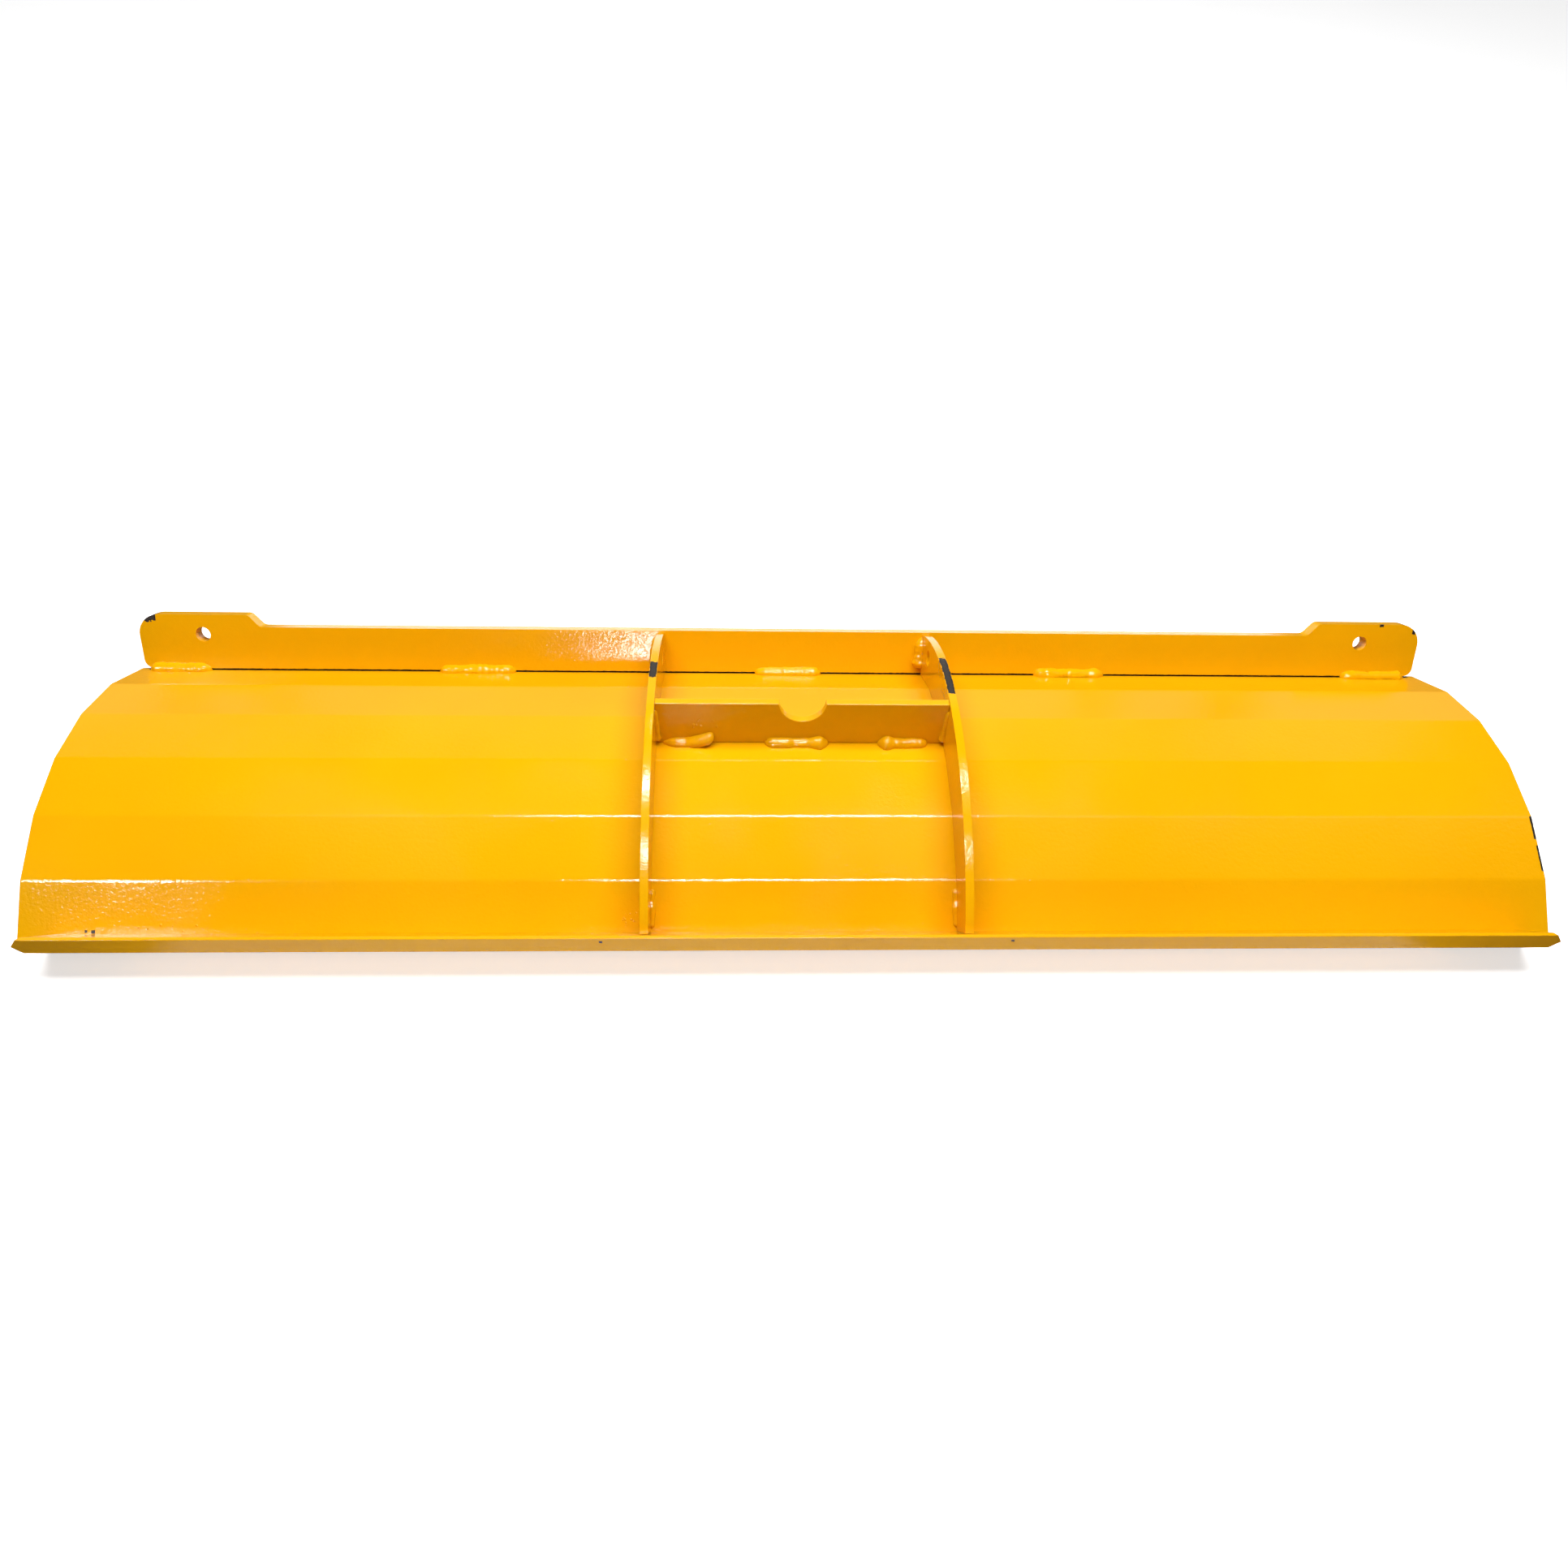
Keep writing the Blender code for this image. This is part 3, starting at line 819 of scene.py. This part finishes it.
# ------------------------------------------------------------- weld beads
@dataclass
class BeadPlan:
    """Where one bead lies and how it was run.

    The constants say how far hand-run metal strays.  A GRAIN is in lumps per
    metre and CLIMB in metres.  A START or PLACE runs from -1 to 1 along the
    bead.  A SEED, LAYER or TURN picks where the noise is read, and the rest
    are factors.

    Attributes:
        node: packed bead.
        run: direction along the bead.
        first: direction along its first plate, away from the corner.
        second: direction along its second plate.
        habit: how the bead ends.
        leg: width of the bead on each plate.
        seed: start of its random wander.
    """

    node: str
    run: Vector
    first: Vector
    second: Vector
    habit: Bead = Bead.EVEN
    leg: float = 0.0105
    seed: int = 1

    WANDER_GRAIN, WANDER, WANDER_SEED, WANDER_LAYER = 62.0, 0.20, 3.7, 0.5
    PUDDLE_GRAIN, PUDDLE, PUDDLE_SEED, PUDDLE_LAYER = 190.0, 0.07, 1.9, 4.5
    LUMP_GRAIN, LUMP, LUMP_TURN = 120.0, 0.06, 1.4
    FULLNESS, CENTRE = 0.86, 0.12
    OVERRUN, END_TAPER = 0.25, 1.25
    CLIMB, CLIMB_START, CLIMB_POWER = 0.0095, -0.1, 1.4
    CLIMB_BASE, CLIMB_GAIN = 0.95, 0.30
    FLARE_BASE, FLARE_FALL, FLARE_FOOT, FLARE_START = 0.92, 0.22, 0.45, 0.45
    LOBE, LOBE_WIDTH = 0.42, 0.24
    END_LOBE_BASE, END_LOBE_PLACE = 0.90, 0.74
    START_LOBE_BASE, START_LOBE_PLACE = 0.86, -0.62

    def swell(self, share: float, place: float) -> float:
        """Size of the bead at a place along it.

        Args:
            share: place from -1 to 1.
            place: distance along the bead.

        Returns:
            Factor on the bead's leg.
        """
        wander = noise.noise(Vector((place * self.WANDER_GRAIN,
                                     self.seed * self.WANDER_SEED,
                                     self.WANDER_LAYER)))
        puddle = noise.noise(Vector((place * self.PUDDLE_GRAIN,
                                     self.seed * self.PUDDLE_SEED,
                                     self.PUDDLE_LAYER)))
        factor = 1.0 + self.WANDER * wander + self.PUDDLE * puddle
        if self.habit is Bead.FLARED_FOOT:
            factor *= (self.FLARE_BASE - self.FLARE_FALL * share
                       + self.FLARE_FOOT * max(0.0, -share
                                               - self.FLARE_START))
        elif self.habit is Bead.CLIMBING:
            factor *= self.CLIMB_BASE + self.CLIMB_GAIN * share
        elif self.habit is Bead.HEAVY_END:
            factor *= (self.END_LOBE_BASE + self.LOBE
                       * self._lobe(share, self.END_LOBE_PLACE))
        elif self.habit is Bead.HEAVY_START:
            factor *= (self.START_LOBE_BASE + self.LOBE
                       * self._lobe(share, self.START_LOBE_PLACE))
        return factor

    def _lobe(self, share: float, middle: float) -> float:
        """Smooth hump round one place of the bead."""
        return math.exp(-((share - middle) / self.LOBE_WIDTH) ** 2)

    def section(self, share: float, place: float, end: float,
                angle: float) -> Tuple[float, float]:
        """Find one point of the bead's cross section.

        Args:
            share: place from -1 to 1.
            place: distance along the bead.
            end: rounding of the bead's end there, from 0 to 1.
            angle: direction of the point round the bead.

        Returns:
            Distance along the first plate and along the second.
        """
        size = self.leg * end * self.swell(share, place)
        lump = noise.noise(Vector((
            place * self.LUMP_GRAIN, math.cos(angle) * self.LUMP_TURN,
            math.sin(angle) * self.LUMP_TURN + self.seed)))
        radius = size * (self.FULLNESS + self.LUMP * lump)
        centre = size * self.CENTRE
        lift = 0.0
        if self.habit is Bead.CLIMBING:
            lift = self.CLIMB * max(0.0, share - self.CLIMB_START
                                    ) ** self.CLIMB_POWER
        return (centre + radius * math.cos(angle),
                centre + radius * math.sin(angle) + lift)


@dataclass
class WeldWork:
    """All the fillet beads, run by hand and painted over.

    Attributes:
        shop: paint shop.
        nodes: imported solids.
        shell: bent section.
        rings: cuts along each bead.
        sides: points round each bead.
        sink: depth of the bead's back below each plate's face.
        slim_end_leg: width of the beads at the cross plate's ends.
        slim_foot_leg: width of the beads at the ribs' feet.
        smooth_angle: sharpest corner that is shaded smooth.
        plans: every bead, filled in by plan().
    """

    shop: PaintShop
    nodes: Dict[str, bpy.types.Object]
    shell: BentShell
    rings: int = 96
    sides: int = 32
    sink: float = 0.0002
    slim_end_leg: float = 0.0048
    slim_foot_leg: float = 0.0045
    smooth_angle: float = math.radians(50.0)
    plans: List[BeadPlan] = field(default_factory=list)

    def plan(self) -> None:
        """List every bead with its directions."""
        last = self.shell.flats - 1
        along, out = self.shell.along(last), self.shell.outward(last)
        for number in range(1, 6):
            self.plans.append(BeadPlan("weld_top_bar_%d" % number, ACROSS,
                                       -along, out, seed=number))
        low, rise = (self.shell.along(self.shell.cross_flat),
                     self.shell.outward(self.shell.cross_flat))
        habits = (Bead.CLIMBING, Bead.HEAVY_END, Bead.HEAVY_START)
        for number, habit in enumerate(habits, 1):
            self.plans.append(BeadPlan("weld_cross_plate_%d" % number,
                                       ACROSS, -low, rise, habit,
                                       seed=20 + number))
        foot, foot_out = self.shell.along(0), self.shell.outward(0)
        for side, sign in (("left", -1.0), ("right", 1.0)):
            inward = ACROSS * -sign
            self.plans.append(BeadPlan("weld_cross_end_" + side, rise, -low,
                                       inward, Bead.FLARED_FOOT,
                                       self.slim_end_leg, 30 + int(sign)))
            self.plans.append(BeadPlan("weld_rib_top_" + side, out, -along,
                                       -ACROSS, Bead.FLARED_FOOT,
                                       seed=40 + int(sign)))
            for face, away in (("inner", inward), ("outer", -inward)):
                self.plans.append(BeadPlan(
                    "weld_rib_foot_%s_%s" % (side, face), foot, away,
                    foot_out, leg=self.slim_foot_leg,
                    seed=50 + int(sign * away.x)))

    def _span(self, plan: BeadPlan) -> Tuple[Vector, float]:
        """Find the corner line of a packed bead.

        Args:
            plan: the bead.

        Returns:
            Middle of the bead on its corner line, and its length.
        """
        points = [v.co for v in self.nodes[plan.node].data.vertices]
        runs = [p.dot(plan.run) for p in points]
        first = min(p.dot(plan.first) for p in points)
        second = min(p.dot(plan.second) for p in points)
        middle = (plan.run * (max(runs) + min(runs)) * 0.5
                  + plan.first * first + plan.second * second)
        return middle, max(runs) - min(runs)

    @staticmethod
    def _shape(piece: bpy.types.Object, plan: BeadPlan,
               middle: Vector, length: float) -> None:
        """Draw the round start out along the corner.

        Args:
            piece: unit ball whose poles lie on Z.
            plan: the bead.
            middle: middle of the bead on its corner line.
            length: bead length.
        """
        half = length * 0.5 + plan.leg * plan.OVERRUN
        taper = plan.leg * plan.END_TAPER
        for vertex in piece.data.vertices:
            unit = vertex.co.normalized()
            share = max(-1.0, min(1.0, unit.z))
            place = half * share
            inside = min(1.0, (half - abs(place)) / taper)
            end = math.sqrt(max(0.0, 1.0 - (1.0 - inside) ** 2))
            first, second = plan.section(share, place, end,
                                         math.atan2(unit.y, unit.x))
            vertex.co = (middle + plan.run * place + plan.first * first
                         + plan.second * second)

    def build(self) -> None:
        """Model, trim and paint every bead."""
        self.plan()
        material = self.shop.enamel(EnamelFinish(
            "bead_enamel", roughness=0.055, peel_size=170.0,
            peel_height=0.00009))
        for plan in self.plans:
            middle, length = self._span(plan)
            Workbench.clear_selection()
            bpy.ops.mesh.primitive_uv_sphere_add(
                segments=self.sides, ring_count=self.rings, radius=1.0)
            piece = bpy.context.object
            piece.name = plan.node + "_bead"
            piece.data.name = piece.name
            self._shape(piece, plan, middle, length)
            for wall in (plan.first, plan.second):
                Workbench.trim(piece, middle - wall * self.sink, wall)
            Workbench.pick(piece)
            bpy.ops.object.shade_smooth_by_angle(angle=self.smooth_angle)
            Workbench.seat(piece, Slot.WELD, material, (plan.node,))


@dataclass(frozen=True)
class SpatterPatch:
    """One area that caught drops of weld metal.

    Attributes:
        name: piece name.
        centre: middle of the area, on the plate's face.
        ahead: first direction over the plate.
        side: second direction over the plate.
        normal: outward normal.
        reach: half size of the area along both directions.
        count: number of drops.
        seed: start of the random places.
    """

    name: str
    centre: Vector
    ahead: Vector
    side: Vector
    normal: Vector
    reach: Tuple[float, float]
    count: int
    seed: int


@dataclass
class Spatter:
    """Drops of weld metal that stuck to the plates and were painted over.

    Attributes:
        shop: paint shop.
        shell: bent section.
        sizes: smallest and largest radius of a drop.
        stretch: least and most it ran out one way.
        flatness: its height as a share of its radius.
        widest_turn: largest turn of a drop on its plate, in radians.
        foot_rise: height of the cross plate's face above its lowest point.
        edge_height: height of the shell's outer face at its lower edge.
    """

    shop: PaintShop
    shell: BentShell
    sizes: Tuple[float, float] = (0.0006, 0.0017)
    stretch: Tuple[float, float] = (0.8, 1.5)
    flatness: float = 0.55
    widest_turn: float = 3.1
    foot_rise: float = 0.0006
    edge_height: float = 0.00504

    def patches(self) -> Tuple[SpatterPatch, ...]:
        """List the areas where beads were run.

        Returns:
            The areas.
        """
        low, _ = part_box("cross_plate")
        shell_low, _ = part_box("shell_plate")
        left_low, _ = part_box("rib_left")
        flat = self.shell.cross_flat
        along, out = self.shell.along(flat), self.shell.outward(flat)
        slope, up = self.shell.along(0), self.shell.outward(0)
        foot = Vector((0.0, low.y, low.z + self.foot_rise))
        edge = Vector((0.0, shell_low.y, self.edge_height))
        return (
            SpatterPatch("spatter_cross_plate",
                         foot + ACROSS * -0.119 + out * 0.032,
                         ACROSS, out, -along, (0.017, 0.010), 9, 5),
            SpatterPatch("spatter_rib_foot",
                         edge + slope * 0.033
                         + ACROSS * (left_low.x - 0.016),
                         ACROSS, slope, up, (0.008, 0.008), 12, 11),
            SpatterPatch("spatter_left_end",
                         edge + slope * 0.024 + ACROSS * (-0.742),
                         ACROSS, slope, up, (0.050, 0.004), 8, 17))

    def _scatter(self, patch: SpatterPatch) -> bpy.types.Object:
        """Scatter flat drops over one area.

        Args:
            patch: the area.

        Returns:
            The joined drops.
        """
        draw = random.Random(patch.seed)
        turn = Matrix((patch.ahead, patch.side, patch.normal))
        turn = turn.transposed().to_4x4()
        made: List[bpy.types.Object] = []
        for _ in range(patch.count):
            size = draw.uniform(*self.sizes)
            place = (patch.centre
                     + patch.ahead * draw.uniform(-patch.reach[0],
                                                  patch.reach[0])
                     + patch.side * draw.uniform(-patch.reach[1],
                                                 patch.reach[1]))
            Workbench.clear_selection()
            bpy.ops.mesh.primitive_ico_sphere_add(subdivisions=2,
                                                  radius=size)
            drop = bpy.context.object
            squash = Matrix.Diagonal((draw.uniform(*self.stretch), 1.0,
                                      self.flatness, 1.0))
            spin = Matrix.Rotation(draw.uniform(0.0, self.widest_turn),
                                   4, "Z")
            drop.data.transform(Matrix.Translation(place) @ turn @ spin
                                @ squash)
            made.append(drop)
        Workbench.clear_selection()
        for drop in made:
            drop.select_set(True)
        bpy.context.view_layer.objects.active = made[0]
        bpy.ops.object.join()
        piece = bpy.context.object
        piece.name = patch.name
        piece.data.name = patch.name
        bpy.ops.object.shade_smooth()
        return piece

    def build(self) -> None:
        """Scatter and paint the drops of every area."""
        material = self.shop.enamel(EnamelFinish(
            "spatter_enamel", roughness=0.22))
        for patch in self.patches():
            Workbench.seat(self._scatter(patch), Slot.WELD, material)


# ------------------------------------------------------------------ studio
@dataclass(frozen=True)
class Lamp:
    """One studio light.

    Attributes:
        name: light name.
        place: where it hangs.
        aim: point it looks at.
        size: width and height of its face.
        power: watts.
        gloss: whether it shows in the paint.
        diffuse: whether it lights the paint.
    """

    name: str
    place: Triple
    aim: Triple
    size: Tuple[float, float]
    power: float
    gloss: bool = True
    diffuse: bool = True


@dataclass
class Studio:
    """Floor, lights and camera.

    Attributes:
        shop: paint shop.
        floor_size: width of the floor.
        camera_place: where the camera stands.
        camera_turn: its turns about X, Y and Z, in degrees.
        lens: focal length in millimetres.
        sensor: sensor width in millimetres.
        shift: small shift of the frame.
        view_range: nearest and farthest visible distance.
        sky: strength of the soft light from all round.
        backdrop: brightness of the backdrop itself.
        wall_panes: ends of each pale panel on the far wall, along X.
        wall_distance: how far behind the part that wall stands.
        wall_height: height of its panels.
        wall_glow: radiance of its panels.
    """

    shop: PaintShop
    floor_size: float = 24.0
    camera_place: Triple = (-0.08805, -0.85787, 1.14627)
    camera_turn: Triple = (37.10198, -1.94384, -1.30258)
    lens: float = 24.8453
    sensor: float = 36.0
    shift: Tuple[float, float] = (0.005464, 0.002184)
    view_range: Tuple[float, float] = (0.05, 60.0)
    sky: float = 0.10
    backdrop: float = 0.90
    wall_panes: Tuple[Tuple[float, float], ...] = (
        (-4.5, -2.42), (-2.28, -2.03), (-1.90, 1.40), (1.55, 1.93),
        (2.15, 3.40))
    wall_distance: float = 3.2
    wall_height: float = 2.8
    wall_glow: float = 0.34

    @staticmethod
    def main_lamps() -> Tuple[Lamp, ...]:
        """List the lights that shape the part.

        Returns:
            Two soft lights, then strips and panels that only the gloss
            of the paint shows.
        """
        return (
            Lamp("key_overhead", (0.0, 0.38, 2.7), (0.0, 0.10, 0.05),
                 (3.6, 1.1), 140.0, gloss=False),
            Lamp("fill_low", (0.0, -1.60, 0.22), (0.0, 0.0, 0.05),
                 (2.6, 0.25), 4.5, gloss=False),
            Lamp("strip_near", (0.05, -0.95, 2.2), (0.0, -0.16, 0.05),
                 (1.10, 0.26), 38.0, diffuse=False),
            Lamp("strip_far", (-0.04, 0.25, 2.2), (0.0, -0.09, 0.07),
                 (1.30, 0.26), 46.0, diffuse=False),
            Lamp("strip_left", (-2.15, -1.10, 2.2), (-0.8, -0.16, 0.05),
                 (0.56, 0.28), 24.0, diffuse=False),
            Lamp("strip_back", (0.05, 1.55, 2.1), (0.0, -0.01, 0.08),
                 (0.70, 0.08), 6.0, diffuse=False),
            Lamp("lamp_front", (-0.40, -3.0, 1.05), (-0.2, 0.22, 0.04),
                 (0.34, 0.26), 14.0, diffuse=False),
            Lamp("ceiling_pane_left", (2.05, 0.30, 2.8), (0.6, 0.0, 0.05),
                 (0.60, 2.2), 1.3, diffuse=False),
            Lamp("ceiling_pane_right", (2.95, 0.10, 2.8), (0.8, 0.0, 0.05),
                 (0.80, 2.6), 2.0, diffuse=False))

    def wall_lamps(self) -> Tuple[Lamp, ...]:
        """List the pale panels of the far wall.

        Returns:
            One light for each panel.
        """
        level = self.wall_height * 0.5
        panels: List[Lamp] = []
        for number, (start, end) in enumerate(self.wall_panes, 1):
            width, middle = end - start, (start + end) * 0.5
            panels.append(Lamp(
                "wall_pane_%d" % number, (middle, self.wall_distance, level),
                (middle, 0.0, level), (width, self.wall_height),
                width * self.wall_height * math.pi * self.wall_glow,
                diffuse=False))
        return tuple(panels)

    def hang(self, lamp: Lamp) -> None:
        """Hang one area light.

        Args:
            lamp: the light.
        """
        data = bpy.data.lights.new(lamp.name, "AREA")
        data.shape = "RECTANGLE"
        data.size, data.size_y = lamp.size
        data.energy = lamp.power
        made = bpy.data.objects.new(lamp.name, data)
        bpy.context.scene.collection.objects.link(made)
        made.location = lamp.place
        aim = Vector(lamp.aim) - Vector(lamp.place)
        made.rotation_euler = aim.to_track_quat("-Z", "Y").to_euler()
        made.visible_glossy = lamp.gloss
        made.visible_diffuse = lamp.diffuse
        made.visible_camera = False

    def lay_floor(self) -> None:
        """Lay the pale floor under the part."""
        Workbench.clear_selection()
        bpy.ops.mesh.primitive_plane_add(size=self.floor_size,
                                         location=(0, 0, 0))
        floor = bpy.context.object
        floor.name = "studio_floor"
        floor.data.materials.append(self.shop.floor(StageFinish()))

    def paint_sky(self) -> None:
        """Set the soft surrounding light and the pale backdrop."""
        world = bpy.data.worlds.new("studio_sky")
        bpy.context.scene.world = world
        world.use_nodes = True
        back = world.node_tree.nodes["Background"]
        back.inputs["Color"].default_value = (1.0, 1.0, 1.0, 1.0)
        sheet = NodeSheet(world.node_tree)
        seen = sheet.add("ShaderNodeLightPath").outputs["Is Camera Ray"]
        strength = sheet.remap(seen, 0.0, 1.0, self.sky, self.backdrop)
        sheet.wire(strength, back.inputs["Strength"])
        world.cycles_visibility.glossy = False

    def place_camera(self) -> None:
        """Stand the camera in front of and above the part."""
        scene = bpy.context.scene
        scene.view_settings.view_transform = "Standard"
        data = bpy.data.cameras.new("camera")
        data.lens = self.lens
        data.sensor_width = self.sensor
        data.shift_x, data.shift_y = self.shift
        data.clip_start, data.clip_end = self.view_range
        camera = bpy.data.objects.new("camera", data)
        scene.collection.objects.link(camera)
        camera.location = self.camera_place
        camera.rotation_euler = [math.radians(turn)
                                 for turn in self.camera_turn]
        scene.camera = camera

    def build(self) -> None:
        """Set up the stage."""
        self.lay_floor()
        for lamp in self.main_lamps() + self.wall_lamps():
            self.hang(lamp)
        self.paint_sky()
        self.place_camera()


def main() -> None:
    """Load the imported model, then dress it and set the stage."""
    logging.basicConfig(level=logging.INFO, format="%(message)s")
    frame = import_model()
    shop = PaintShop()
    shell = BentShell()
    nodes = frame["nodes"]
    PlateWork(shop, nodes).build()
    WeldWork(shop, nodes, shell).build()
    Spatter(shop, shell).build()
    Studio(shop).build()


if __name__ == "__main__":
    main()
